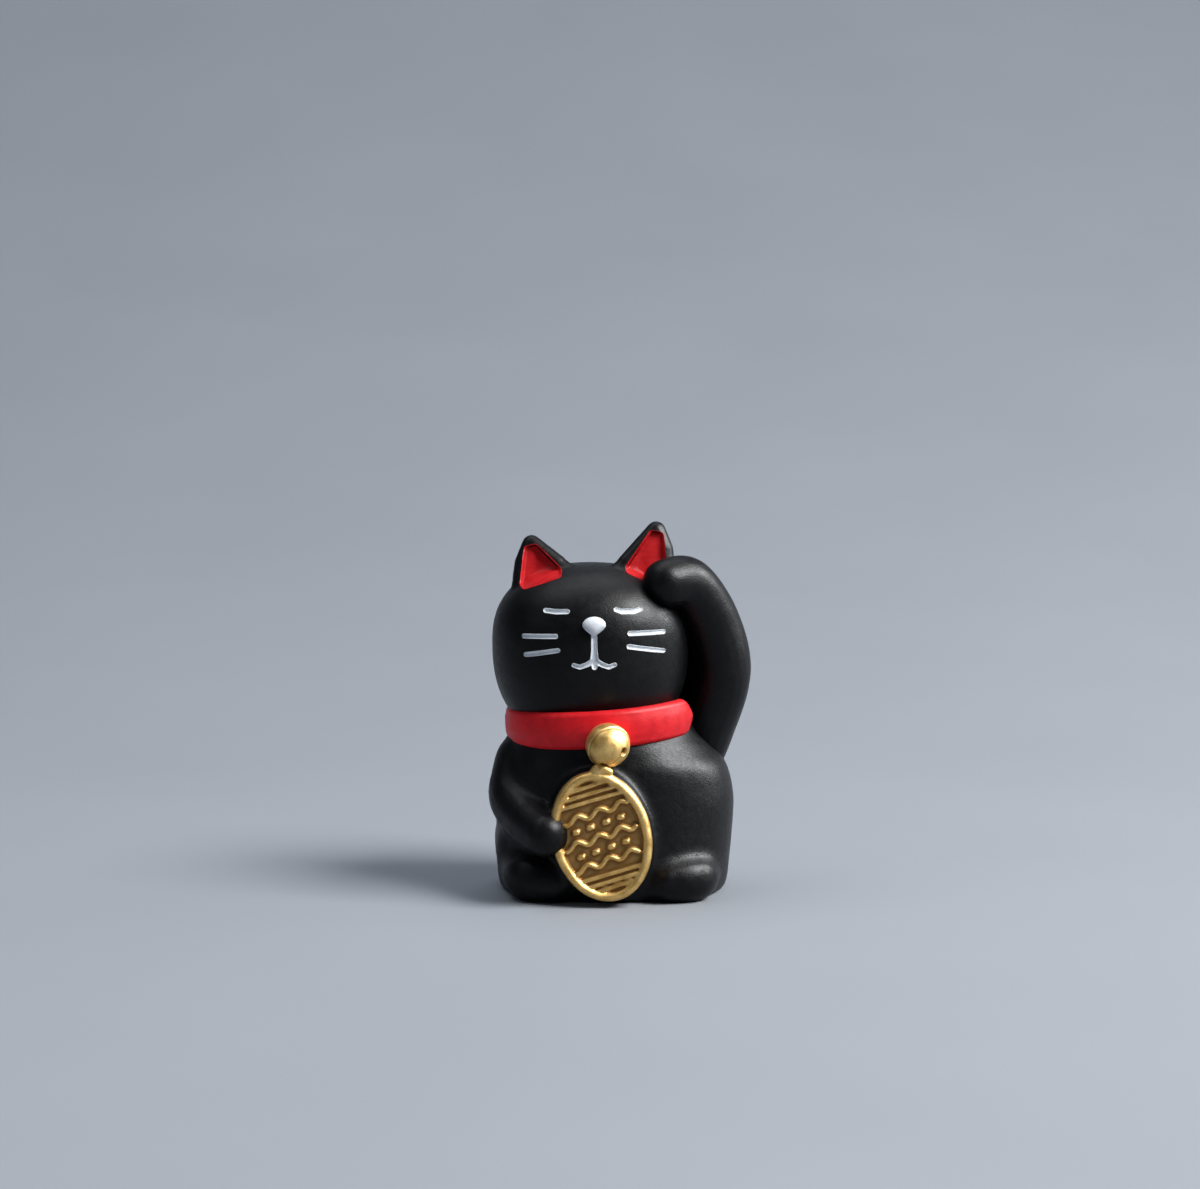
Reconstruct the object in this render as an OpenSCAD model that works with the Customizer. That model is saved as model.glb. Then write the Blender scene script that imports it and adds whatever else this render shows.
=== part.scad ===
// Beckoning cat figurine: a small painted resin souvenir, seated, with one paw raised to its ear
// and the other holding an oval coin. Front faces -Y, up is +Z, origin at the centre of the base.

/* [Body] */
// Widest width of the seated body
body_w = 27.2; // [26.6:0.1:28]
// Depth of the seated body, front to back
body_d = 21.8; // [21:0.1:22.6]
// Height at which the shoulders meet the collar
shoulder_z = 17.8; // [17.5:0.1:18.1]

/* [Head] */
// Width of the head without the ears
head_w = 22.4; // [21.9:0.1:22.9]
// Depth of the head
head_d = 21.2; // [20.8:0.1:21.6]
// Height of the crown above the base
crown_z = 37.1; // [36.8:0.1:37.4]
// Sideways place of the face, which turns away from the raised arm
head_x = -1.95; // [-2.2:0.05:-1.7]
// Height of the taller ear's tip above the base
ear_tip_z = 41.9; // [41.4:0.1:42.4]
// How much lower the other ear's tip stands
ear_drop = 1.6; // [1:0.1:2]

/* [Collar and bell] */
// Outer radius of the collar
collar_r = 11; // [10.9:0.05:11.1]
// Height of the collar band
collar_h = 4.2; // [3.9:0.1:4.5]
// Diameter of the bell
bell_d = 4.9; // [4.6:0.1:5.2]

/* [Coin] */
// Short width of the oval coin
coin_w = 11; // [10.6:0.1:11.4]
// Long height of the oval coin
coin_h = 14.7; // [14.4:0.1:15]
// Lean of the coin's long axis
coin_lean = 14; // [10:1:18]

/* [Paint lines] */
// Width of a painted face line
line_w = 0.5; // [0.4:0.05:0.6]
// Thickness of a painted face line
line_t = 0.15; // [0.1:0.05:0.2]

/* [Hidden] */

BLACK = [0.03, 0.03, 0.035];
RED = [0.75, 0.04, 0.05];
GOLD = [0.72, 0.52, 0.2];
WHITE = [0.9, 0.92, 0.94];

RIGHT = -1; // the cat's own right, at -X
LEFT = 1;
SIDES = 48; // corners of each lofted ring
BALL = 24; // $fn of the balls inside a hull
FAR = 60; // longer than the figurine, for cutting blocks

// ---------- head, neck and collar frame ----------
head_z = 28.2; // widest level of the head
head_up = crown_z - head_z;
head_down = 11.8;
skull_x = head_x - 0.35; // the skull bulges a little past the face
head_power = 2.4; // roundness of the head's outline, where 2 is an ellipse
neck_x = -1.1;
neck_r = 9.9; // where the head and the torso meet, under the collar
neck_z = 19.5; // middle of the collar
neck_h = 4; // from the middle of the collar down into the shoulders
neck_tilt = -4; // the collar rides a little higher on the raised arm's side

// ---------- smooth interpolation through stations ----------
function bend(p0, p1, p2, p3, t) =
    0.5 * (2 * p1 + (p2 - p0) * t + (2 * p0 - 5 * p1 + 4 * p2 - p3) * t * t
        + (3 * p1 - p0 - 3 * p2 + p3) * t * t * t);

function station_at(stations, u) =
    let (last = len(stations) - 1, i = min(floor(u), last - 1), t = u - i)
    bend(stations[max(i - 1, 0)], stations[i], stations[i + 1], stations[min(i + 2, last)], t);

function shaped(c, power) = sign(c) * pow(abs(c), 2 / power);

// One ring of a superellipse. A station is [z, half width, half depth, x, y, power].
function ring(s) = [
    for (i = [0 : SIDES - 1])
        let (a = 360 * i / SIDES)
        [s[3] + s[1] * shaped(cos(a), s[5]), s[4] + s[2] * shaped(sin(a), s[5]), s[0]]
];

function ring_faces(rings) = [
    for (k = [0 : rings - 2], i = [0 : SIDES - 1])
        let (j = (i + 1) % SIDES)
        each [
            [k * SIDES + i, (k + 1) * SIDES + i, (k + 1) * SIDES + j],
            [k * SIDES + i, (k + 1) * SIDES + j, k * SIDES + j]
        ]
];

// A closed solid through a stack of superellipse rings, from the lowest to the highest.
module stack(rings) {
    n = len(rings);
    polyhedron(
        points = [for (r = rings) each ring(r)],
        faces = concat(
            ring_faces(n),
            [[for (i = [0 : SIDES - 1]) i]],
            [[for (i = [SIDES - 1 : -1 : 0]) (n - 1) * SIDES + i]]
        )
    );
}

// A limb follows a smooth curve through its joints. Each joint is [x, y, z, radius].
module limb(joints, steps = 2) {
    last = (len(joints) - 1) * steps;
    for (k = [0 : last - 1])
        hull()
            for (u = [k, k + 1] / steps)
                ball(station_at(joints, u));
}

module ball(j) {
    translate([j[0], j[1], j[2]]) sphere(r = j[3], $fn = BALL);
}

module above_ground() {
    intersection() {
        children();
        translate([-FAR / 2, -FAR / 2, 0]) cube(FAR);
    }
}

module neck_frame() {
    translate([neck_x, 0, neck_z]) rotate([0, neck_tilt, 0]) children();
}

// ---------- whole forms, before one piece is cut to clear another ----------
torso_stations = [
    [0, body_w / 2 - 1.7, body_d / 2 - 1.3, 0.2, 0.1, 2.5],
    [0.35, body_w / 2 - 1, body_d / 2 - 0.7, 0.2, 0.1, 2.5],
    [1.4, body_w / 2 - 0.5, body_d / 2 - 0.1, 0.2, 0.2, 2.5],
    [4, body_w / 2 - 0.25, body_d / 2 + 0.2, 0.25, 0.3, 2.5],
    [7.5, body_w / 2 - 0.1, body_d / 2 + 0.1, 0.4, 0.3, 2.4],
    [11, body_w / 2, body_d / 2 - 0.1, 0.35, 0.1, 2.3],
    [14.4, body_w / 2 - 0.65, body_d / 2 - 0.4, 0.1, 0, 2.2],
    [16.4, body_w / 2 - 1.9, body_d / 2 - 0.7, -0.5, 0, 2.1],
    [shoulder_z + 0.2, body_w / 2 - 3.1, body_d / 2 - 0.8, neck_x, 0, 2]
];

module torso_form() {
    steps = 3;
    last = (len(torso_stations) - 1) * steps;
    stack([for (k = [0 : last]) station_at(torso_stations, k / steps)]);
    neck_frame() translate([0, 0, -neck_h]) cylinder(r = neck_r, h = neck_h, $fn = SIDES);
    coin_bed();
}

// Rings of the head run from its lower pole to its crown by the angle of latitude.
function head_ring(lat, inset) =
    let (rise = sin(lat) >= 0 ? head_up - inset : head_down - inset, wide = shaped(cos(lat), head_power))
    [
        head_z + rise * shaped(sin(lat), head_power),
        max((head_w / 2 - inset) * wide, 0.05),
        max((head_d / 2 - inset) * wide, 0.05),
        skull_x, 0, 2.1
    ];

module head_egg(inset = 0) {
    step = 7.5;
    intersection() {
        stack([for (lat = [-90 : step : 90]) head_ring(lat, inset)]);
        neck_frame() translate([-FAR / 2, -FAR / 2, 0]) cube(FAR);
    }
}

// Rounded corners span an ear: outer base and side, inner base, rear base, then the tip.
function ear_top(side) = ear_tip_z - (side == RIGHT ? ear_drop : 0);

module ear_form(side) {
    tip_r = 1.1;
    corners = [
        [8.3, -1.8, 32.4, 1.35],
        [7.75, -0.6, ear_top(side) - 3.2, 1.25],
        [2.5, -2.1, 35.8, 1.15],
        [5.8, 3, 34, 1.2],
        [7.05, 0, ear_top(side) - tip_r, tip_r]
    ];
    hull()
        for (c = corners) ball([head_x + side * c[0], c[1], c[2], c[3]]);
}

hollow_deep = 0.9; // from an ear's front face to the bottom of its lining
lining_t = 0.45;

// The painted hollow of an ear, as its outline seen from the front.
module ear_outline(side) {
    rounding = 0.55; // of the outline's corners
    inner_z = side == LEFT ? 36.75 : 36.4;
    corners = [[7.8, 35.1], [4.1, inner_z], [6.65, ear_top(side) - 1.5], [7.4, ear_top(side) - 1.65]];
    hull()
        for (c = corners)
            translate([head_x + side * c[0], c[1]]) circle(r = rounding, $fn = 16);
}

module toward_front() {
    rotate([90, 0, 0]) linear_extrude(FAR / 2) children();
}

// Everything in front of an ear's painted floor, which lies this deep behind the ear's front face.
module ear_hollow(side, deep) {
    difference() {
        toward_front() ear_outline(side);
        translate([0, deep, 0]) ear_form(side);
    }
}

module head_form() {
    head_egg();
    for (side = [RIGHT, LEFT]) ear_form(side);
    lip_h = 0.2; // the collar's top edge stands this far above the neck
    neck_frame() cylinder(r = neck_r, h = collar_h / 2 - lip_h, $fn = SIDES);
}

raised_joints = [
    [9, 3.2, 12.6, 3.1],
    [10.6, 2.2, 18, 3.6],
    [12.5, 0.7, 24.6, 3.5],
    [11.4, 0.3, 30.3, 3.3],
    [8.3, -1.7, 35.1, 3],
    [6.4, -5.9, 35.2, 2.75]
];

// The casting fills the space between the raised arm and the head.
web_joints = [[9.7, 3.1, 25.3, 2.4], [9.4, 2.5, 29.4, 2.4]];

module raised_form() {
    limb(raised_joints);
    limb(web_joints, 1);
}

coin_arm_joints = [
    [-9.6, -1.4, 14.4, 3.7],
    [-10.5, -4.2, 11.2, 3.35],
    [-9.4, -7.6, 9.3, 2.85],
    [-8.2, -10.1, 8.5, 2.65],
    [-7.2, -11.8, 8.1, 2.55]
];

// ---------- pieces ----------
module torso() {
    color(BLACK)
        difference() {
            torso_form();
            band();
        }
}

module hind_foot(side) {
    toe_r = 2.8;
    color(BLACK)
        difference() {
            above_ground()
                limb([
                    [side * 6.2, -8.5, toe_r, toe_r],
                    [side * 8.8, -7.4, toe_r, toe_r],
                    [side * 9.8, -4, toe_r, toe_r]
                ]);
            torso_form();
        }
}

module tail() {
    color(BLACK)
        difference() {
            limb([[0, 9.4, 3, 2.4], [0.4, 10.4, 4.1, 2.3], [1.1, 10.5, 6.2, 1.8]]);
            torso_form();
        }
}

module coin_arm() {
    color(BLACK)
        difference() {
            limb(coin_arm_joints);
            torso_form();
        }
}

module raised_arm() {
    color(BLACK)
        difference() {
            raised_form();
            torso_form();
            head_form();
            band();
        }
}

module head() {
    color(BLACK)
        difference() {
            head_form();
            band();
            for (side = [RIGHT, LEFT]) ear_hollow(side, hollow_deep);
            nose_form();
        }
}

// The red floor of an ear's hollow, set back from the ear's front edge.
module ear_lining(side) {
    color(RED)
        difference() {
            intersection() {
                toward_front() ear_outline(side);
                translate([0, hollow_deep - lining_t, 0]) ear_form(side);
            }
            translate([0, hollow_deep, 0]) ear_form(side);
        }
}

// Each stroke is a list of [x from the head's middle, z] points, seen from the front.
face_strokes = [
    ["right_eye", [[-5.3, 32.6], [-4.1, 32.5], [-2.9, 32.55]]],
    ["left_eye", [[2.45, 32.75], [3.1, 32.55], [4.5, 32.5], [5.2, 32.7]]],
    ["right_upper_whisker", [[-7.7, 29.7], [-4.2, 29.85]]],
    ["right_lower_whisker", [[-7.5, 27.65], [-3.95, 28.3]]],
    ["left_upper_whisker", [[4, 30.15], [7.75, 30.1]]],
    ["left_lower_whisker", [[3.9, 28.7], [7.75, 28]]],
    ["mouth", [[-2.2, 26.7], [-1.5, 26.5], [-0.8, 26.75], [0.1, 27.2], [1, 26.75], [1.7, 26.5], [2.35, 26.75]]]
];

function stroke_of(name) = [for (s = face_strokes) if (s[0] == name) s[1]][0];

module stroke_outline(points) {
    for (i = [0 : len(points) - 2])
        hull()
            for (p = [points[i], points[i + 1]])
                translate([head_x + p[0], p[1]]) circle(d = line_w, $fn = 14);
}

// A painted line stands a little proud of the face.
module paint(points) {
    intersection() {
        difference() {
            head_egg(-line_t);
            head_egg();
        }
        toward_front() stroke_outline(points);
    }
}

module face_line(name) {
    color(WHITE) paint(stroke_of(name));
}

lip = [[0.1, 30.2], [0.1, 26.5]]; // the stroke that drops from the nose to the mouth

module mouth() {
    color(WHITE)
        difference() {
            union() {
                paint(stroke_of("mouth"));
                paint(lip);
            }
            nose_form();
        }
}

module nose_form() {
    wide = 1.3;
    translate([head_x + 0.05, -head_d / 2 + 0.35, 31.1])
        resize([2 * wide, 1.7, 2.2]) sphere(r = wide, $fn = 20);
}

module nose() {
    color(WHITE) nose_form();
}

// The collar's cross-section: a band with rounded edges, standing in a groove around the neck.
module band() {
    edge = 0.5;
    band_in = 9;
    neck_frame()
        rotate_extrude($fn = 64)
            difference() {
                translate([band_in, -collar_h / 2]) square([collar_r - band_in, collar_h]);
                for (s = [1, -1])
                    translate([collar_r, s * collar_h / 2]) rotate(45) square(edge * sqrt(2), center = true);
            }
}

bell_at = [-0.4, -11.6, 18];

module bell_form() {
    translate(bell_at) sphere(d = bell_d, $fn = 32);
}

module collar() {
    color(RED)
        difference() {
            band();
            bell_form();
            raised_form();
        }
}

// The bell's slit runs across its underside, with a round eye at each end.
module bell() {
    slit_w = 0.45;
    eye_d = 0.9;
    eye_reach = bell_d * 0.3;
    slit_deep = 1.2;
    color(GOLD)
        difference() {
            bell_form();
            torso_form();
            translate(bell_at) rotate([-35, 20, 0])
                translate([0, 0, -bell_d / 2]) {
                    cube([2 * eye_reach, slit_w, slit_deep], center = true);
                    for (s = [1, -1])
                        translate([s * eye_reach, 0, 0])
                            cylinder(d = eye_d, h = 2 * slit_deep, $fn = 16, center = true);
                }
        }
}

// The coin lies in its own frame: X across, Y up its long axis, +Z out of its face.
module coin_frame() {
    translate([-1.1, -13.1, 7.95]) rotate([90, -coin_lean, 0]) children();
}

module oval(inset) {
    resize([coin_w - 2 * inset, coin_h - 2 * inset]) circle(d = coin_h, $fn = 44);
}

// The coin rests on a raised black bed, which is part of the torso.
coin_t = 1.3;

module coin_bed() {
    deep = 4; // far enough back to end inside the belly
    coin_frame() translate([0, 0, -deep]) linear_extrude(deep - coin_t) oval(0.1);
}

module coin() {
    rim = 1;
    field_drop = 0.6;
    sunk = 0.1;
    relief = 0.45;
    rib_w = 0.5;
    rib_rows = [-5.6, -4.6, -2.7, 0, 2.7, 4.6, 5.6];
    bead_d = 0.8;
    bead_gap = 1.8;
    bead_rows = [-1.35, 1.35];
    color(GOLD)
        difference() {
            coin_frame() {
                difference() {
                    translate([0, 0, -coin_t]) linear_extrude(coin_t) oval(0);
                    translate([0, 0, -field_drop]) linear_extrude(coin_t) oval(rim);
                }
                intersection() {
                    translate([0, 0, -field_drop - sunk]) linear_extrude(relief) oval(rim - sunk);
                    for (y = rib_rows)
                        translate([0, y, 0]) cube([coin_w, rib_w, coin_t], center = true);
                }
                for (y = bead_rows, step = [-1.5 : 1.5])
                    translate([step * bead_gap, y, -field_drop - sunk])
                        cylinder(d = bead_d, h = relief, $fn = 14);
            }
            limb(coin_arm_joints);
            bell_form();
        }
}

torso();
hind_foot(RIGHT);  // right_hind_foot
hind_foot(LEFT);  // left_hind_foot
tail();
coin_arm();
raised_arm();
head();
ear_lining(RIGHT);  // right_ear_lining
ear_lining(LEFT);  // left_ear_lining
face_line("right_eye");  // right_eye
face_line("left_eye");  // left_eye
nose();
mouth();
face_line("right_upper_whisker");  // right_upper_whisker
face_line("right_lower_whisker");  // right_lower_whisker
face_line("left_upper_whisker");  // left_upper_whisker
face_line("left_lower_whisker");  // left_lower_whisker
collar();
bell();
coin();
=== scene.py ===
"""Beckoning cat figurine: a small painted resin casting, seated, with its left paw raised.

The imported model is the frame. The black casting is sculpted as overlapping lumps that are fused
into one skin and softened where they meet, as the clay original was. The paint then goes on:
linings in the hollow ears, lines in the grooves of the face, a red collar, a gilded bell and coin.
Lengths are in metres, or in millimetres where a joint, a station or a field says so. The figurine
faces -Y and its own left is at +X.
"""

import logging
import math
from dataclasses import dataclass
from enum import Enum
from typing import Iterable, Sequence

import bmesh
import bpy
from bmesh.types import BMesh, BMVert
from mathutils import Matrix, Vector
from mathutils.bvhtree import BVHTree


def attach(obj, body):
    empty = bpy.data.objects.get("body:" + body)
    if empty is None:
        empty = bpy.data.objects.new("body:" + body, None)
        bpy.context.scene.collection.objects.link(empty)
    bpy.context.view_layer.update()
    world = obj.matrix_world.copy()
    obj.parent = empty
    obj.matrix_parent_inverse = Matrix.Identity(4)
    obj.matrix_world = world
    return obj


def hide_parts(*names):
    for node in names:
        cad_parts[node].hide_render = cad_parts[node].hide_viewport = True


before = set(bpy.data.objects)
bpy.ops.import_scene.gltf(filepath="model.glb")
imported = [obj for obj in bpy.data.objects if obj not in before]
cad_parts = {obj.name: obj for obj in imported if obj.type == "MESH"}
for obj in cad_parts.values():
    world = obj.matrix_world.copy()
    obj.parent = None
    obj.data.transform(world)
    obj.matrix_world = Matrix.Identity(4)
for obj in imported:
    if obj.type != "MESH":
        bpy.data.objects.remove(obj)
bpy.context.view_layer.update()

log = logging.getLogger("cat")

MM = 0.001
FAR = 60 * MM  # further than any point of the figurine
TURN = 2 * math.pi

Socket = bpy.types.NodeSocket
Tint = tuple[float, float, float] | Socket


class Slot(Enum):
    """The record's material slots, one for each kind of finish."""

    BLACK = "black_resin"
    RED = "red_paint"
    GOLD = "gold_paint"
    WHITE = "white_paint"


class Side(Enum):
    """The cat's own sides, as the sign of X."""

    RIGHT = -1
    LEFT = 1


# ---------------------------------------------------------------- finishes


class Recipe:
    """The node tree of one material, with a short call for each node that the finishes share."""

    def __init__(self, name: str) -> None:
        """Starts a material.

        Args:
            name: The material's name.
        """
        self.material = bpy.data.materials.new(name)
        self.material.use_nodes = True
        self.tree = self.material.node_tree
        self.shader = self.tree.nodes["Principled BSDF"]
        self.place = self.tree.nodes.new("ShaderNodeTexCoord").outputs["Object"]

    def link(self, source: Socket, target: Socket) -> None:
        """Joins two sockets."""
        self.tree.links.new(source, target)

    def feed(self, name: str, value: Socket | float) -> None:
        """Feeds an input of the shader with a socket or a constant."""
        if isinstance(value, Socket):
            self.link(value, self.shader.inputs[name])
        else:
            self.shader.inputs[name].default_value = value

    def noise(self, grain: float, detail: float = 2.0, stretch: Vector | None = None) -> Socket:
        """Soft random variation over the surface.

        Args:
            grain: The size of one patch of it.
            detail: How many finer layers it holds.
            stretch: How many times longer a patch is along X, Y and Z.

        Returns:
            A value from 0 to 1.
        """
        node = self.tree.nodes.new("ShaderNodeTexNoise")
        node.inputs["Scale"].default_value = 1 / grain
        node.inputs["Detail"].default_value = detail
        source = self.place
        if stretch is not None:
            mapping = self.tree.nodes.new("ShaderNodeMapping")
            mapping.inputs["Scale"].default_value = [1 / s for s in stretch]
            self.link(self.place, mapping.inputs["Vector"])
            source = mapping.outputs["Vector"]
        self.link(source, node.inputs["Vector"])
        return node.outputs["Fac"]

    def specks(self, spacing: float, radius: float) -> Socket:
        """Scattered round specks.

        Args:
            spacing: The usual distance between specks.
            radius: The size of a speck.

        Returns:
            1 on a speck and 0 elsewhere.
        """
        node = self.tree.nodes.new("ShaderNodeTexVoronoi")
        node.inputs["Scale"].default_value = 1 / spacing
        self.link(self.place, node.inputs["Vector"])
        return self.span(node.outputs["Distance"], (0.6 * radius / spacing, radius / spacing), (1, 0))

    def attribute(self, name: str) -> Socket:
        """A value that the mesh carries at each vertex."""
        node = self.tree.nodes.new("ShaderNodeAttribute")
        node.attribute_name = name
        return node.outputs["Fac"]

    def span(
        self, value: Socket, source: tuple[float, float], target: tuple[float, float]
    ) -> Socket:
        """Maps one range of values onto another, and holds it at the ends."""
        node = self.tree.nodes.new("ShaderNodeMapRange")
        self.link(value, node.inputs["Value"])
        for name, number in zip(("From Min", "From Max", "To Min", "To Max"), (*source, *target)):
            node.inputs[name].default_value = number
        return node.outputs["Result"]

    def blend(self, factor: Socket, low: Tint, high: Tint) -> Socket:
        """Mixes two tints, or a tint and an earlier mix, by a factor."""
        node = self.tree.nodes.new("ShaderNodeMix")
        node.data_type = "RGBA"
        self.link(factor, node.inputs["Factor"])
        first_colour, second_colour = (s for s in node.inputs if s.type == "RGBA")
        for socket, tint in ((first_colour, low), (second_colour, high)):
            if isinstance(tint, Socket):
                self.link(tint, socket)
            else:
                socket.default_value = (*tint, 1)
        return next(s for s in node.outputs if s.type == "RGBA")

    def bump(
        self, height: Socket, depth: float, under: Socket | None = None
    ) -> Socket:
        """Raises and sinks the surface in its shading.

        Args:
            height: From 0 to 1.
            depth: The rise from 0 to 1.
            under: A coarser bump that this one lies on.

        Returns:
            The shading normal.
        """
        node = self.tree.nodes.new("ShaderNodeBump")
        node.inputs["Distance"].default_value = depth
        node.inputs["Strength"].default_value = 1
        self.link(height, node.inputs["Height"])
        if under is not None:
            self.link(under, node.inputs["Normal"])
        return node.outputs["Normal"]

    def combine(self, operation: str, first: Socket, second: Socket) -> Socket:
        """Adds or multiplies two values, and holds the result between 0 and 1."""
        node = self.tree.nodes.new("ShaderNodeMath")
        node.operation = operation
        node.use_clamp = True
        self.link(first, node.inputs[0])
        self.link(second, node.inputs[1])
        return node.outputs["Value"]


@dataclass(frozen=True)
class Resin:
    """Matte black paint on cast resin: a fine grain, faint mould waves and a few specks of dust."""

    name: str = "black_resin"
    deep: Tint = (0.0010, 0.0010, 0.0016)
    worn: Tint = (0.0030, 0.0031, 0.0044)
    dust: Tint = (0.16, 0.17, 0.19)
    patch: float = 1.1 * MM
    speck: float = 0.075 * MM
    speck_gap: float = 2.6 * MM
    rough: tuple[float, float] = (0.37, 0.47)
    grain: float = 0.2 * MM
    grain_depth: float = 0.028 * MM
    wave: float = 2.2 * MM
    wave_depth: float = 0.05 * MM
    gloss: float = 0.18

    def material(self) -> bpy.types.Material:
        """Returns the finish as a material."""
        recipe = Recipe(self.name)
        worn = recipe.span(recipe.noise(self.patch, 4), (0.35, 0.7), (0, 1))
        tone = recipe.blend(worn, self.deep, self.worn)
        dusty = recipe.span(recipe.noise(3 * MM, 0), (0.56, 0.6), (0, 0.6))
        speck = recipe.combine("MULTIPLY", recipe.specks(self.speck_gap, self.speck), dusty)
        recipe.feed("Base Color", recipe.blend(speck, tone, self.dust))
        recipe.feed("Roughness", recipe.span(recipe.noise(0.6 * MM, 3), (0.3, 0.7), self.rough))
        recipe.feed("Specular IOR Level", self.gloss)
        waves = recipe.bump(recipe.noise(self.wave, 1), self.wave_depth)
        recipe.feed("Normal", recipe.bump(recipe.noise(self.grain, 2), self.grain_depth, waves))
        return recipe.material


@dataclass(frozen=True)
class Paint:
    """Brushed paint: faint streaks along the stroke, a thin spot here and there and a satin skin."""

    name: str
    thick: Tint
    thin: Tint
    rough: tuple[float, float]
    gloss: float = 0.17
    streak: Vector = Vector((6, 1, 1))
    streak_depth: float = 0.012 * MM
    pool_depth: float = 0.03 * MM

    def material(self) -> bpy.types.Material:
        """Returns the finish as a material."""
        recipe = Recipe(self.name)
        streaks = recipe.noise(0.28 * MM, 3, self.streak)
        pools = recipe.noise(1.4 * MM, 2)
        laid = recipe.combine("ADD", recipe.span(streaks, (0, 1), (0, 0.5)), pools)
        cover = recipe.span(laid, (0.45, 1), (0, 1))
        recipe.feed("Base Color", recipe.blend(cover, self.thin, self.thick))
        recipe.feed("Roughness", recipe.span(pools, (0.3, 0.7), self.rough))
        recipe.feed("Specular IOR Level", self.gloss)
        pooled = recipe.bump(pools, self.pool_depth)
        recipe.feed("Normal", recipe.bump(streaks, self.streak_depth, pooled))
        return recipe.material


@dataclass(frozen=True)
class Gilding:
    """Gold paint over cast relief: bright where it stands proud, and brown in the stored hollows, an
    antique brown that has pooled on the coin and painted shade in the bell's eyes, slit and gutter.
    """

    name: str
    bright: Tint = (0.90, 0.63, 0.25)
    dull: Tint = (0.56, 0.33, 0.09)
    wash_and_shade_tint: Tint = (0.24, 0.115, 0.026)
    grain: float = 0.16 * MM
    grain_depth: float = 0.016 * MM
    patch: float = 1.2 * MM
    patch_depth: float = 0.05 * MM
    rough: tuple[float, float] = (0.38, 0.5)

    def material(self) -> bpy.types.Material:
        """Returns the finish as a material."""
        recipe = Recipe(self.name)
        fleck = recipe.noise(self.grain, 3)
        patch = recipe.noise(self.patch, 3)
        rubbed = recipe.combine(
            "ADD", recipe.span(fleck, (0, 1), (0, 0.45)), recipe.span(patch, (0, 1), (0, 0.7))
        )
        metal = recipe.blend(recipe.span(rubbed, (0.4, 0.8), (0, 1)), self.dull, self.bright)
        low = recipe.combine(
            "ADD", recipe.attribute("hollow"), recipe.span(fleck, (0.4, 0.7), (0, 0.12))
        )
        # the stored hollows take the brown tint: pooled antique brown on the coin, painted shade on the
        # bell
        pooled_and_shaded = recipe.span(low, (0.1, 0.85), (0, 1))
        recipe.feed("Base Color", recipe.blend(pooled_and_shaded, metal, self.wash_and_shade_tint))
        recipe.feed("Metallic", recipe.span(pooled_and_shaded, (0, 1), (0.85, 0.55)))
        recipe.feed("Roughness", recipe.span(patch, (0.3, 0.7), self.rough))
        coarse = recipe.bump(patch, self.patch_depth)
        recipe.feed("Normal", recipe.bump(fleck, self.grain_depth, coarse))
        return recipe.material


@dataclass(frozen=True)
class Palette:
    """Every finish of the figurine, each made once."""

    resin: bpy.types.Material
    ear_red: bpy.types.Material
    collar_red: bpy.types.Material
    white: bpy.types.Material
    gold: bpy.types.Material

    @classmethod
    def mixed(cls) -> "Palette":
        """Returns the palette with its materials made."""
        ear_red = Paint("ear_red_paint", (0.60, 0.014, 0.018), (0.36, 0.006, 0.009), (0.34, 0.46))
        collar_red = Paint("collar_red_paint", (0.80, 0.016, 0.024), (0.60, 0.010, 0.016), (0.36, 0.5))
        white = Paint("white_paint", (0.84, 0.88, 0.92), (0.62, 0.67, 0.73), (0.34, 0.5))
        finishes = (Resin(), ear_red, collar_red, white, Gilding("gold_paint"))
        return cls(*(finish.material() for finish in finishes))


# ---------------------------------------------------------------- sculpting


Joint = tuple[float, float, float, float]  # x, y, z and radius, in millimetres


def mm(*values: float) -> Vector:
    """A place given in millimetres."""
    return Vector(values) * MM


def curve_at(stations: Sequence[Sequence[float]], at: float) -> list[float]:
    """A point on the smooth curve through the stations.

    Args:
        stations: Rows of numbers that the curve passes through.
        at: How far along, where 1 is one station further.

    Returns:
        A row of numbers, like a station.
    """
    last = len(stations) - 1
    i = min(int(at), last - 1)
    t = at - i
    rows = [stations[max(i - 1, 0)], stations[i], stations[i + 1], stations[min(i + 2, last)]]
    return [
        0.5 * (2 * b + (c - a) * t + (2 * a - 5 * b + 4 * c - d) * t**2 + (3 * b - a - 3 * c + d) * t**3)
        for a, b, c, d in zip(*rows)
    ]


def shaped(value: float, power: float) -> float:
    """A sine or cosine bent so that a circle of them becomes a superellipse of that power."""
    return math.copysign(abs(value) ** (2 / power), value)


def smooth_step(value: float) -> float:
    """Eases a value from 0 to 1."""
    held = min(max(value, 0.0), 1.0)
    return held * held * (3 - 2 * held)


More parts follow.
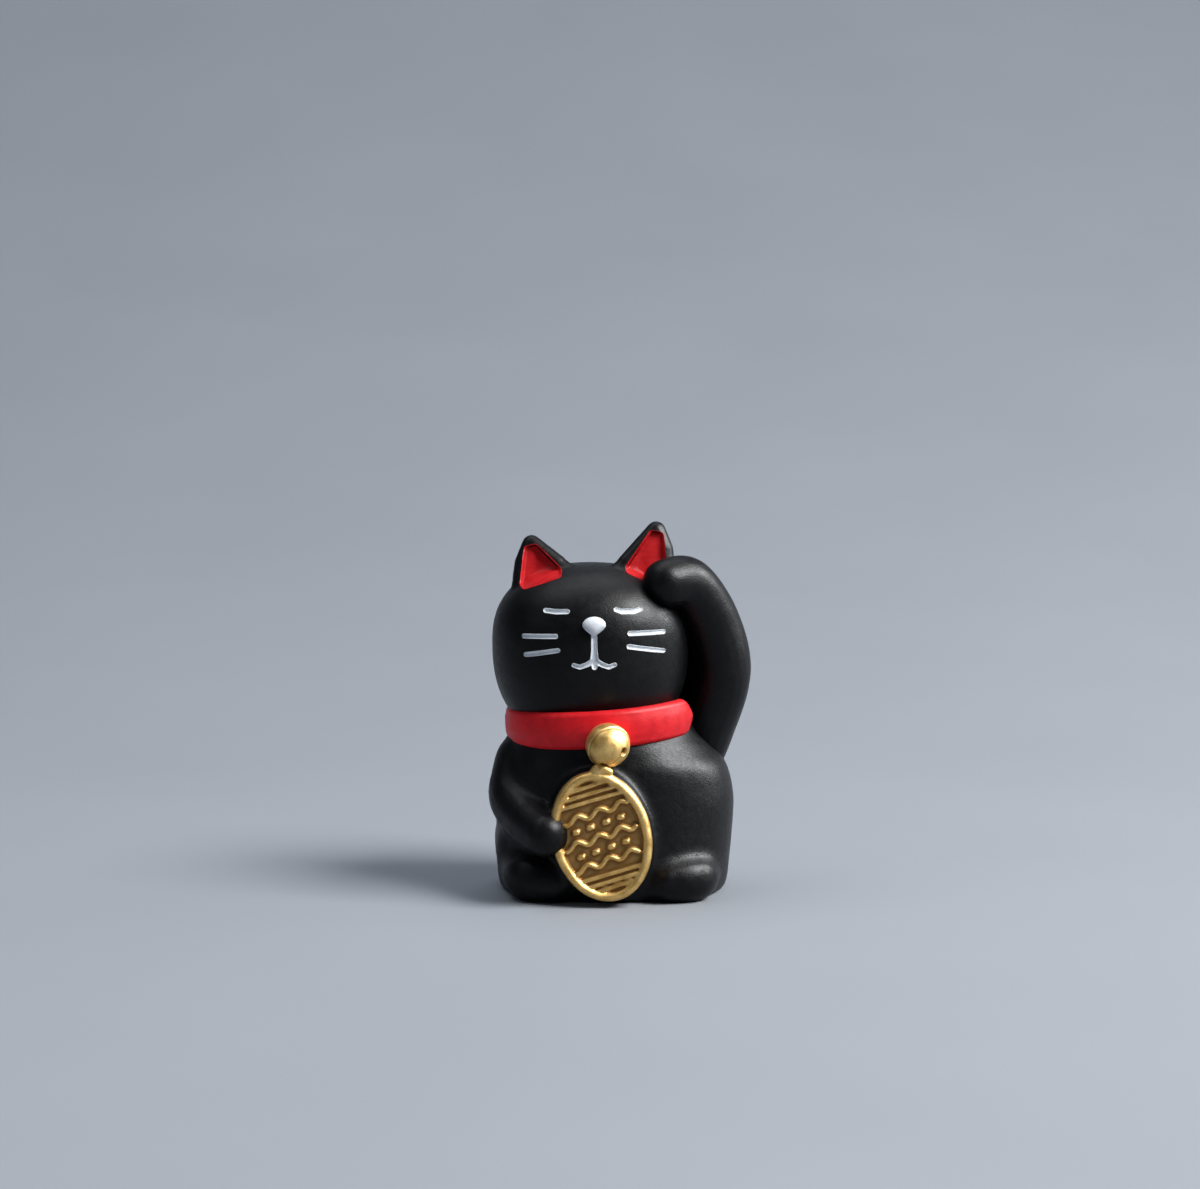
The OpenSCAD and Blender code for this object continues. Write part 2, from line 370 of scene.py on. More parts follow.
class Lump:
    """One closed lump of clay."""

    def __init__(self) -> None:
        """Starts with nothing."""
        self.bm: BMesh = bmesh.new()

    @classmethod
    def limb(cls, joints: Sequence[Joint], spacing: float = 0.35, detail: int = 3) -> "Lump":
        """A rounded limb along the smooth curve through its joints.

        Args:
            joints: Rows of x, y, z and radius, in millimetres.
            spacing: The distance between the balls that it is rolled from, in millimetres.
            detail: How finely each ball is divided.

        Returns:
            The limb.
        """
        lump = cls()
        last = len(joints) - 1
        length = sum((mm(*a[:3]) - mm(*b[:3])).length for a, b in zip(joints, joints[1:])) / MM
        steps = max(int(length / spacing), 1)
        for k in range(steps + 1):
            x, y, z, radius = curve_at(joints, last * k / steps)
            lump.ball((x, y, z), radius, detail)
        return lump

    @classmethod
    def skinned(cls, joints: Sequence[Joint]) -> "Lump":
        """The tight skin around four or more balls.

        Args:
            joints: Rows of x, y, z and radius, in millimetres.

        Returns:
            The skin.
        """
        lump = cls()
        bm = lump.bm
        for x, y, z, radius in joints:
            lump.ball((x, y, z), radius, 3)
        bmesh.ops.delete(bm, geom=bm.faces[:], context="FACES_ONLY")
        bmesh.ops.convex_hull(bm, input=bm.verts[:], use_existing_faces=False)
        bmesh.ops.delete(bm, geom=[e for e in bm.edges if not e.link_faces], context="EDGES")
        bmesh.ops.delete(bm, geom=[v for v in bm.verts if not v.link_faces], context="VERTS")
        bmesh.ops.recalc_face_normals(bm, faces=bm.faces[:])
        return lump

    @classmethod
    def turned(cls, stations: Sequence[Sequence[float]], levels: int = 60, sides: int = 120) -> "Lump":
        """A closed form through level rings.

        Args:
            stations: Rows of height, half width, half depth, x, y and power, in millimetres.
            levels: How many rings it has.
            sides: How many corners a ring has.

        Returns:
            The form.
        """
        lump = cls.drum(sides)
        walls = [e for e in lump.bm.edges if abs(e.verts[0].co.z - e.verts[1].co.z) > 0.5]
        bmesh.ops.subdivide_edges(lump.bm, edges=walls, cuts=levels - 1)
        last = len(stations) - 1
        for vert in lump.bm.verts:
            z, wide, deep, x, y, power = curve_at(stations, min(vert.co.z, 1) * last)
            angle = math.atan2(vert.co.y, vert.co.x)
            across = wide * shaped(math.cos(angle), power)
            back = deep * shaped(math.sin(angle), power)
            vert.co = mm(x + across, y + back, z)
        return lump

    @classmethod
    def drum(cls, sides: int) -> "Lump":
        """A cylinder of unit radius and height, which stands on the origin, to be shaped further."""
        lump = cls()
        up = Matrix.Translation((0, 0, 0.5))
        bmesh.ops.create_cone(
            lump.bm, cap_ends=True, segments=sides, radius1=1, radius2=1, depth=1, matrix=up
        )
        return lump

    def ball(self, centre: Sequence[float], radius: float, detail: int) -> None:
        """Adds a ball, with its centre and radius in millimetres."""
        place = Matrix.Translation(mm(*centre))
        bmesh.ops.create_icosphere(self.bm, subdivisions=detail, radius=radius * MM, matrix=place)

    def moved(self, matrix: Matrix) -> "Lump":
        """Places the lump, and returns it."""
        bmesh.ops.transform(self.bm, matrix=matrix, verts=self.bm.verts[:])
        return self


class Casting:
    """Lumps that overlap, fused into one skin and softened where they meet."""

    def __init__(self, lumps: Iterable[Lump]) -> None:
        """Takes the lumps.

        Args:
            lumps: Closed lumps, which overlap their neighbours.
        """
        self.lumps = list(lumps)

    def fused(self, voxel: float) -> BMesh:
        """One closed skin around all the lumps.

        Args:
            voxel: The length of a face's side.

        Returns:
            The skin.
        """
        heap = bmesh.new()
        for lump in self.lumps:
            mesh = bpy.data.meshes.new("lump")
            lump.bm.to_mesh(mesh)
            heap.from_mesh(mesh)
            bpy.data.meshes.remove(mesh)
        mesh = bpy.data.meshes.new("heap")
        heap.to_mesh(mesh)
        heap.free()
        holder = bpy.data.objects.new("heap", mesh)
        bpy.context.scene.collection.objects.link(holder)
        modifier = holder.modifiers.new("skin", "REMESH")
        modifier.mode = "VOXEL"
        modifier.voxel_size = voxel
        skin = bmesh.new()
        skin.from_object(holder, bpy.context.evaluated_depsgraph_get())
        bpy.data.objects.remove(holder)
        bpy.data.meshes.remove(mesh)
        return skin

    def seam(self, bm: BMesh, reach: float) -> list[BMVert]:
        """The vertices near which two lumps meet.

        Args:
            bm: The fused skin.
            reach: How far a vertex may lie from both.

        Returns:
            The vertices.
        """
        trees = [BVHTree.FromBMesh(lump.bm) for lump in self.lumps]
        return [v for v in bm.verts if sum(t.find_nearest(v.co, reach)[0] is not None for t in trees) > 1]

    def cast(self, voxel: float, reach: float, rounds: int, finish: int = 3) -> BMesh:
        """Fuses the lumps and softens the result.

        Args:
            voxel: The length of a face's side.
            reach: How wide the fillets are, to each side of a meeting line.
            rounds: How strongly the fillets are smoothed.
            finish: How often the whole skin is smoothed.

        Returns:
            The cast skin.
        """
        bm = self.fused(voxel)
        relax(bm, self.seam(bm, reach), rounds)
        relax(bm, bm.verts[:], finish)
        return bm


def relax(bm: BMesh, verts: list[BMVert], rounds: int) -> None:
    """Smooths the vertices that many times."""
    for _ in range(rounds):
        bmesh.ops.smooth_vert(
            bm, verts=verts, factor=0.5, use_axis_x=True, use_axis_y=True, use_axis_z=True
        )


def level_base(bm: BMesh) -> None:
    """Cuts the casting off flat at the ground, and closes it."""
    geom = bm.verts[:] + bm.edges[:] + bm.faces[:]
    cut = bmesh.ops.bisect_plane(bm, geom=geom, plane_co=(0, 0, 0), plane_no=(0, 0, 1), clear_inner=True)
    rim = [g for g in cut["geom_cut"] if isinstance(g, bmesh.types.BMEdge)]
    bmesh.ops.contextual_create(bm, geom=rim)
    bmesh.ops.recalc_face_normals(bm, faces=bm.faces[:])


SKIN = "skin_normal"  # the layer that keeps a casting's normals through its division
CAP_SIDES = 8  # a face with more sides than this is a flat cap
SHARP = 50  # degrees between two faces from which their edge is a sharp one


def divided(bm: BMesh, groups: Sequence[Sequence[Lump]]) -> list[BMesh]:
    """Cuts a cast skin along the lines where its limbs meet its body, and closes every part.

    Args:
        bm: The skin, which is freed.
        groups: The lumps of the body, and then those of each limb.

    Returns:
        The parts, in the order of the groups, which keep the normals of the whole.
    """
    bm.normal_update()
    layer = bm.verts.layers.float_vector.new(SKIN)
    for vert in bm.verts:
        vert[layer] = vert.normal
    forests = [[BVHTree.FromBMesh(lump.bm) for lump in group] for group in groups]
    owner = {}
    for face in bm.faces:
        middle = face.calc_center_median()
        gaps = [min(tree.find_nearest(middle)[3] for tree in forest) for forest in forests]
        owner[face] = 0 if len(face.verts) > CAP_SIDES else gaps.index(min(gaps))
    for limb in range(1, len(groups)):
        tidy_owner(bm, owner, limb)
    parts = []
    for k in range(len(groups)):
        part = bm.copy()
        part.faces.ensure_lookup_table()
        others = [part.faces[f.index] for f in bm.faces if owner[f] != k]
        bmesh.ops.delete(part, geom=others, context="FACES")
        made = bmesh.ops.holes_fill(part, edges=[e for e in part.edges if e.is_boundary], sides=0)
        for cap in made["faces"]:
            if not all(e.is_contiguous for e in cap.edges):
                cap.normal_flip()
        parts.append(part)
    bm.free()
    return parts


def tidy_owner(bm: BMesh, owner: dict[bmesh.types.BMFace, int], limb: int) -> None:
    """Makes the faces of a limb one smooth-edged patch with no holes.

    Args:
        bm: The skin.
        owner: Each face's group, which is corrected.
        limb: The group of the limb.
    """
    bm.faces.index_update()
    rounds = 4
    for _ in range(rounds):
        mixed = [v for v in bm.verts if len({owner[f] == limb for f in v.link_faces}) > 1]
        rim = {f for v in mixed for f in v.link_faces}
        changed = {}
        for face in rim:
            if len(face.verts) <= CAP_SIDES:
                around = {f for v in face.verts for f in v.link_faces}
                mine = sum(owner[f] == limb for f in around)
                if 2 * mine > len(around):
                    changed[face] = limb
                elif owner[face] == limb:
                    changed[face] = 0
        owner.update(changed)
    for wanted, other in ((True, 0), (False, limb)):
        patches = connected({f for f in bm.faces if (owner[f] == limb) == wanted})
        for patch in sorted(patches, key=len)[:-1]:
            owner.update(dict.fromkeys(patch, other))


def connected(faces: set[bmesh.types.BMFace]) -> list[list[bmesh.types.BMFace]]:
    """Sorts faces into patches, joined by their edges."""
    patches = []
    left = set(faces)
    while left:
        patch = [left.pop()]
        for face in patch:
            near = {f for e in face.edges for f in e.link_faces} & left
            left -= near
            patch.extend(near)
        patches.append(patch)
    return patches


def store_hollows(bm: BMesh, rounds: int, depth: float) -> None:
    """Stores how far each vertex lies below its surroundings, for the finishes that darken there.

    Args:
        bm: The mesh.
        rounds: How wide the surroundings are, as rounds of smoothing.
        depth: The depth that counts as 1.
    """
    layer = bm.verts.layers.float.new("hollow")
    bm.normal_update()
    before = [v.co.copy() for v in bm.verts]
    normals = [v.normal.copy() for v in bm.verts]
    relax(bm, bm.verts[:], rounds)
    for vert, place, normal in zip(bm.verts, before, normals):
        vert[layer] = min(max((vert.co - place).dot(normal) / depth, 0), 1)
        vert.co = place


def keep_normals(mesh: bpy.types.Mesh) -> None:
    """Gives a part of a divided casting the normals of the whole, so that no seam shows."""
    if SKIN not in mesh.attributes:
        return
    kept = [item.vector.copy() for item in mesh.attributes[SKIN].data]
    normals = []
    for face in mesh.polygons:
        capped = len(face.vertices) > CAP_SIDES
        normals += [face.normal if capped else kept[v] for v in face.vertices]
    mesh.normals_split_custom_set(normals)
    mesh.attributes.remove(mesh.attributes[SKIN])


def finished(bm: BMesh, name: str, material: bpy.types.Material) -> bpy.types.Object:
    """Makes a piece of the figurine from a mesh, in place of the CAD node of the same name.

    Args:
        bm: The mesh, which is freed.
        name: The piece's name.
        material: Its finish.

    Returns:
        The piece.
    """
    bm.normal_update()
    mesh = bpy.data.meshes.new(name)
    bm.to_mesh(mesh)
    bm.free()
    mesh.materials.append(material)
    mesh.shade_smooth()
    mesh.set_sharp_from_angle(angle=math.radians(SHARP))
    keep_normals(mesh)
    piece = bpy.data.objects.new(name, mesh)
    bpy.context.scene.collection.objects.link(piece)
    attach(piece, "root")
    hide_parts(name)
    log.info("%s: %d faces", name, len(mesh.polygons))
    return piece


# ---------------------------------------------------------------- painted hollows


def share(to: Vector, along: Vector) -> float:
    """How far along a line lies the point nearest to a place, from 0 to 1."""
    return min(max(to.dot(along) / along.length_squared, 0), 1)


@dataclass(frozen=True)
class Stroke:
    """One pull of the brush, as rows of x, z and width in millimetres, seen from the front."""

    points: tuple[tuple[float, float, float], ...]

    def edge(self, x: float, z: float) -> float:
        """How far a place lies outside the stroke, in metres, or inside where it is negative."""
        best = FAR
        for (ax, az, aw), (bx, bz, bw) in zip(self.points, self.points[1:]):
            along = Vector(((bx - ax) * MM, (bz - az) * MM))
            to = Vector((x - ax * MM, z - az * MM))
            t = share(to, along)
            best = min(best, (to - along * t).length - (aw + (bw - aw) * t) * MM / 2)
        return best

    @property
    def corners(self) -> list[tuple[float, float]]:
        """Its points as rows of x and z."""
        return [(x, z) for x, z, _ in self.points]

    @property
    def half(self) -> float:
        """Half its greatest width."""
        return max(p[2] for p in self.points) * MM / 2


@dataclass(frozen=True)
class Outline:
    """The rounded outline of a painted ear, with its corners anticlockwise, in millimetres."""

    corners: tuple[tuple[float, float], ...]
    rounding: float = 0.55

    def edge(self, x: float, z: float) -> float:
        """How far a place lies outside the outline, in metres, or inside where it is negative."""
        place = Vector((x, z))
        points = [Vector(c) * MM for c in self.corners]
        inside = True
        best = FAR
        for a, b in zip(points, points[1:] + points[:1]):
            along = b - a
            to = place - a
            best = min(best, (to - along * share(to, along)).length)
            inside = inside and along.cross(to) >= 0
        return (-best if inside else best) - self.rounding * MM


@dataclass
class Mark:
    """A hollow in the casting with paint in it."""

    name: str
    shapes: tuple[Stroke | Outline, ...]
    depth: float
    material: bpy.types.Material
    slot: Slot
    film: float = 0.02 * MM
    cell: float = 0.06 * MM
    cuts: int = 2

    def edge(self, x: float, z: float) -> float:
        """How far a place lies outside the mark, or inside where it is negative."""
        return min(shape.edge(x, z) for shape in self.shapes)

    def sunk(self, x: float, z: float) -> float:
        """How deep the hollow is at a place."""
        deepest = 0.0
        for shape in self.shapes:
            t = min(max(-shape.edge(x, z) / shape.half, 0), 1)
            deepest = max(deepest, self.depth * math.sqrt(1 - (1 - t) ** 2) * smooth_step(3 * t))
        return deepest

    def bounds(self) -> tuple[Vector, Vector]:
        """The lowest and highest x and z of the mark, with a little room."""
        across, upward = zip(*(corner for shape in self.shapes for corner in shape.corners))
        room = Vector((1, 1)) * MM
        low = Vector((min(across), min(upward))) * MM - room
        high = Vector((max(across), max(upward))) * MM + room
        return low, high

    def holds(self, place: Vector, room: float) -> bool:
        """Whether a place seen from the front is within some room of the mark."""
        low, high = self.bounds()
        if not (low.x < place.x < high.x and low.y < place.z < high.y):
            return False
        return self.edge(place.x, place.z) < room

    def pressed(self, place: Vector, normal: Vector) -> Vector:
        """Where a place on the skin comes to lie in the hollow."""
        return place - normal * self.sunk(place.x, place.z)

    def carve(self, bm: BMesh) -> None:
        """Divides the skin more finely around the mark and presses the hollow into it.

        Args:
            bm: The skin.
        """
        def within(room: float) -> list[BMVert]:
            """The vertices of the front that lie within some room of the mark."""
            return [v for v in bm.verts if v.normal.y < 0.1 and self.holds(v.co, room)]

        edges = {e for v in within(0.4 * MM) for e in v.link_edges}
        bmesh.ops.subdivide_edges(bm, edges=list(edges), cuts=self.cuts, use_grid_fill=True)
        bm.normal_update()
        for vert in within(0):
            vert.co = self.pressed(vert.co, vert.normal)

    def paint(self, skin: BVHTree) -> BMesh:
        """The film of paint that lines the hollow.

        Args:
            skin: The casting before it was carved.

        Returns:
            The film, closed.
        """
        low, high = self.bounds()
        size = high - low
        bm = bmesh.new()
        columns, rows = int(size.x / self.cell), int(size.y / self.cell)
        bmesh.ops.create_grid(bm, x_segments=columns, y_segments=rows, size=0.5)
        for vert in bm.verts:
            across, upward = vert.co.x + 0.5, vert.co.y + 0.5
            vert.co = Vector((low.x + across * size.x, 0, low.y + upward * size.y))
        away = [f for f in bm.faces if self.edge(f.calc_center_median().x, f.calc_center_median().z) > 0]
        bmesh.ops.delete(bm, geom=away, context="FACES")
        for vert in (v for v in bm.verts if v.is_boundary):
            self.trim(vert)
        for vert in bm.verts:
            spot, normal, _, _ = skin.ray_cast(Vector((vert.co.x, -FAR, vert.co.z)), Vector((0, 1, 0)))
            vert.co = self.pressed(spot, normal) + self.proud(normal) * self.film
        bmesh.ops.recalc_face_normals(bm, faces=bm.faces[:])
        if sum(f.normal.y for f in bm.faces) > 0:
            bmesh.ops.reverse_faces(bm, faces=bm.faces[:])
        bmesh.ops.solidify(bm, geom=bm.faces[:], thickness=3 * self.film)
        bmesh.ops.recalc_face_normals(bm, faces=bm.faces[:])
        return bm

    def proud(self, normal: Vector) -> Vector:
        """The way in which the film stands proud of the hollow."""
        return normal

    def trim(self, vert: BMVert) -> None:
        """Draws a vertex at the film's border onto the mark's outline."""
        step = 0.005 * MM
        for _ in range(3):
            x, z = vert.co.x, vert.co.z
            here = self.edge(x, z)
            slope = Vector((self.edge(x + step, z) - here, self.edge(x, z + step) - here)) / step
            if slope.length > 0.1:
                vert.co.x -= here * slope.x / slope.length_squared
                vert.co.z -= here * slope.y / slope.length_squared


@dataclass
class Hollow(Mark):
    """The deep hollow of an ear, with steep walls and a floor that leans back with the ear."""

    cell: float = 0.08 * MM
    cuts: int = 1
    tip: float = 0.0
    wall: float = 0.45 * MM
    brow: float = -0.95 * MM  # y of the ear's front face at its tip
    lean: float = 0.3
    deepest: float = 0.9 * MM
    outward: Vector = Vector((0, -1.2, 1))  # off the floor, forward and up

    def pressed(self, place: Vector, normal: Vector) -> Vector:
        """Where a place on the skin comes to lie in the hollow."""
        floor = self.brow - (self.tip - place.z) * self.lean + self.depth
        sink = smooth_step(-self.edge(place.x, place.z) / self.wall)
        return Vector((place.x, place.y + min(floor - place.y, self.deepest) * sink, place.z))

    def proud(self, normal: Vector) -> Vector:
        """The way in which the film stands proud of the hollow."""
        return self.outward


# ---------------------------------------------------------------- sub-assemblies


@dataclass
class Torso:
    """The seated body with the coin's bed, and the feet, tail and coin arm cast on to it."""

    palette: Palette
    coin: "Coin"
    voxel: float = 0.19 * MM

    def stations(self) -> list[list[float]]:
        """Level rings of the body: height, half width, half depth, x, y and power."""
        return [
            [-0.6, 11.0, 8.9, 0.2, 0.1, 2.5],
            [0.15, 12.45, 10.0, 0.2, 0.1, 2.5],
            [1.2, 13.05, 10.75, 0.2, 0.15, 2.5],
            [4, 13.35, 11.05, 0.25, 0.3, 2.45],
            [7.5, 13.5, 10.95, 0.4, 0.3, 2.35],
            [11, 13.6, 10.7, 0.35, 0.1, 2.25],
            [14.4, 12.95, 10.4, 0.1, -0.1, 2.15],
            [16.5, 11.6, 10.1, -0.45, -0.1, 2.05],
            [18.4, 10.5, 9.9, -1.0, 0, 2],
            [20.3, 10.1, 9.8, -1.1, 0, 2],
        ]

    def toes(self, side: Side) -> Lump:
        """A hind foot, folded under the body."""
        s = side.value
        return Lump.limb([(s * 6.2, -8.7, 2.4, 2.8), (s * 8.9, -7.7, 2.5, 2.9), (s * 9.9, -3.6, 3.0, 2.8)])

    def haunch(self, side: Side) -> Lump:
        """The thigh, which swells the side of the body above the foot."""
        s = side.value
        return Lump.limb([(s * 9.6, -3.0, 5.0, 3.6), (s * 9.4, 2.5, 5.4, 4.1)])

    def tail(self) -> Lump:
        """A short bob tail, which curls up against the back."""
        return Lump.limb([(0, 9.5, 3, 2.4), (0.4, 10.5, 4.2, 2.3), (1.1, 10.7, 6.4, 1.8)])

    def coin_arm(self) -> Lump:
        """The right arm, which comes down across the belly and holds the coin by its edge."""
        return Lump.limb([
            (-9.6, -1.4, 14.4, 3.75),
            (-10.5, -4.2, 11.2, 3.35),
            (-9.4, -7.6, 9.3, 2.85),
            (-8.2, -10.1, 8.5, 2.65),
            (-7.2, -11.8, 8.1, 2.55),
        ])

    def build(self) -> list[bpy.types.Object]:
        """Returns the torso, and the limbs that are cast on to it."""
        haunches = [self.haunch(side) for side in Side]
        body = [Lump.turned(self.stations()), self.coin.bed(), *haunches]
        limbs = {
            "right_hind_foot": self.toes(Side.RIGHT),
            "left_hind_foot": self.toes(Side.LEFT),
            "tail": self.tail(),
            "coin_arm": self.coin_arm(),
        }
        bm = Casting([*body, *limbs.values()]).cast(self.voxel, reach=1.1 * MM, rounds=60)
        level_base(bm)
        parts = divided(bm, [body, *([limb] for limb in limbs.values())])
        names = ["torso", *limbs]
        return [finished(p, n, self.palette.resin) for p, n in zip(parts, names)]


@dataclass
class RaisedArm:
    """The left arm, raised behind the shoulder, with its paw folded forward against the ear."""

    palette: Palette
    voxel: float = 0.17 * MM

    def build(self) -> bpy.types.Object:
        """Returns the arm, with the web of resin between it and the head."""
        arm = Lump.limb([
            (9.0, 3.2, 12.6, 3.1),
            (10.6, 2.2, 18, 3.6),
            (12.5, 0.7, 24.6, 3.5),
            (11.4, -0.4, 30.3, 3.3),
            (8.7, -2.9, 34.9, 3.05),
            (6.2, -4.9, 35.3, 2.75),
        ])
        web = Lump.limb([(9.3, 3.1, 20.5, 2.3), (9.7, 3.0, 25.3, 2.5), (10.3, 1.4, 29.8, 2.4)])
        bm = Casting([arm, web]).cast(self.voxel, reach=0.8 * MM, rounds=30, finish=8)
        return finished(bm, "raised_arm", self.palette.resin)


@dataclass
class Head:
    """The round head with its two hollow ears."""

    palette: Palette
    voxel: float = 0.17 * MM
    middle: float = -1.95  # x of the face, in millimetres, as are the rest
    skull: float = -2.3  # x of the head's widest level
    wide: float = 11.2
    deep: float = 10.6
    level: float = 28.2
    up: float = 8.9
    down: float = 11.8
    power: float = 2.4  # roundness seen from the front, where 2 is an ellipse
    ring_power: float = 2.1  # roundness seen from above

    def egg(self) -> Lump:
        """The head without its ears."""
        lump = Lump()
        bmesh.ops.create_uvsphere(lump.bm, u_segments=128, v_segments=96, radius=1)
        for vert in lump.bm.verts:
            lat = math.asin(min(max(vert.co.z, -1), 1))
            lon = math.atan2(vert.co.y, vert.co.x)
            ring = shaped(math.cos(lat), self.power)
            rise = (self.up if lat > 0 else self.down) * shaped(math.sin(lat), self.power)
            vert.co = mm(
                self.skull + self.wide * ring * shaped(math.cos(lon), self.ring_power),
                self.deep * ring * shaped(math.sin(lon), self.ring_power),
                self.level + rise,
            )
        bmesh.ops.remove_doubles(lump.bm, verts=lump.bm.verts[:], dist=0.001 * MM)
        return lump

    def ear_tip(self, side: Side) -> float:
        """The height of an ear's tip."""
        return 41.85 if side is Side.LEFT else 40.3

    def ear(self, side: Side) -> Lump:
        """An ear, leaning a little outwards."""
        s = side.value
        tip = self.ear_tip(side)
        x = self.middle
        return Lump.skinned([
            (x + s * 8.3, -1.8, 32.4, 1.35),
            (x + s * 7.75, -0.6, tip - 3.2, 1.25),
            (x + s * 2.5, -2.1, 35.8, 1.15),
            (x + s * 5.8, 3.0, 34, 1.2),
            (x + s * 7.05, 0, tip - 1.12, 1.12),
        ])

    def marks(self) -> list[Mark]:
        """Every painted hollow of the head."""
        linings = [self.lining("right_ear_lining", Side.RIGHT), self.lining("left_ear_lining", Side.LEFT)]
        lines = {
            "right_eye": [(-5.3, 32.6, 0.48), (-4.1, 32.5, 0.52), (-2.9, 32.55, 0.48)],
            "left_eye": [(2.45, 32.75, 0.46), (3.1, 32.55, 0.54), (4.5, 32.5, 0.54), (5.2, 32.7, 0.46)],
            "right_upper_whisker": [(-7.7, 29.7, 0.48), (-4.2, 29.85, 0.5)],
            "right_lower_whisker": [(-7.5, 27.65, 0.5), (-3.95, 28.3, 0.46)],
            "left_upper_whisker": [(4.0, 30.15, 0.54), (7.75, 30.1, 0.48)],
            "left_lower_whisker": [(3.9, 28.7, 0.52), (7.75, 28.0, 0.46)],
        }
        return [
            *linings,
            *(self.line(name, 0.2 * MM, points) for name, points in lines.items()),
            self.line(
                "mouth",
                0.24 * MM,
                [(0.05, 30.1, 0.62), (0.08, 28.4, 0.66), (0.1, 27.2, 0.95), (0.1, 26.5, 0.6)],
                [(0, 27.2, 0.62), (-0.8, 26.75, 0.52), (-1.5, 26.5, 0.48), (-2.2, 26.7, 0.42)],
                [(0.2, 27.2, 0.62), (1, 26.75, 0.52), (1.7, 26.5, 0.48), (2.35, 26.75, 0.42)],
            ),
        ]

    def line(self, name: str, depth: float, *strokes: Sequence[tuple[float, float, float]]) -> Mark:
        """White paint in a groove.

        Args:
            name: The name of the piece.
            depth: The depth of the groove.
            *strokes: Rows of x from the face's middle, z and width, in millimetres.

        Returns:
            The mark.
        """
        shapes = (Stroke(tuple((self.middle + x, z, wide) for x, z, wide in points)) for points in strokes)
        return Mark(name, tuple(shapes), depth, self.palette.white, Slot.WHITE)

    def lining(self, name: str, side: Side) -> Mark:
        """The red hollow of an ear.

        Args:
            name: The name of the piece.
            side: The ear's side.

        Returns:
            The mark.
        """
        tip = self.ear_tip(side)
        inner = 36.75 if side is Side.LEFT else 36.4
        spots = [(7.8, 35.1), (4.1, inner), (6.65, tip - 1.5), (7.4, tip - 1.65)]
        corners = [(self.middle + side.value * x, z) for x, z in spots]
        if side is Side.LEFT:
            corners.reverse()
        outline = Outline(tuple(corners))
        return Hollow(name, (outline,), 0.65 * MM, self.palette.ear_red, Slot.RED, tip=tip * MM)

    def nose(self, skin: BVHTree) -> BMesh:
        """The nose, a white bead with a flat top and a narrower foot.

        Args:
            skin: The head before it was carved.

        Returns:
            The bead, sunk into the face.
        """
        proud = 0.05 * MM
        start = mm(self.middle + 0.05, -60, 31.1)
        spot, normal, _, _ = skin.ray_cast(start, Vector((0, 1, 0)))
        bm = bmesh.new()
        bmesh.ops.create_icosphere(bm, subdivisions=5, radius=1)
        for vert in bm.verts:
            narrow = 1 - 0.35 * smooth_step(-vert.co.z)
            flat = 0.86 if vert.co.z > 0 else 1
            vert.co = mm(1.3 * vert.co.x * narrow, 0.75 * vert.co.y, 1.12 * vert.co.z * flat)
        lean = normal.to_track_quat("-Y", "Z").to_matrix().to_4x4()
        place = Matrix.Translation(spot + normal * proud) @ lean
        bmesh.ops.transform(bm, matrix=place, verts=bm.verts[:])
        return bm

    def build(self) -> list[bpy.types.Object]:
        """Returns the head, its linings and the painted face."""
        casting = Casting([self.egg(), self.ear(Side.RIGHT), self.ear(Side.LEFT)])
        bm = casting.cast(self.voxel, reach=0.9 * MM, rounds=30)
        bm.normal_update()
        skin = BVHTree.FromBMesh(bm)
        marks = self.marks()
        for mark in marks:
            mark.carve(bm)
        pieces = [finished(bm, "head", self.palette.resin)]
        for mark in marks:
            pieces.append(finished(mark.paint(skin), mark.name, mark.material))
        pieces.append(finished(self.nose(skin), "nose", self.palette.white))
        return pieces


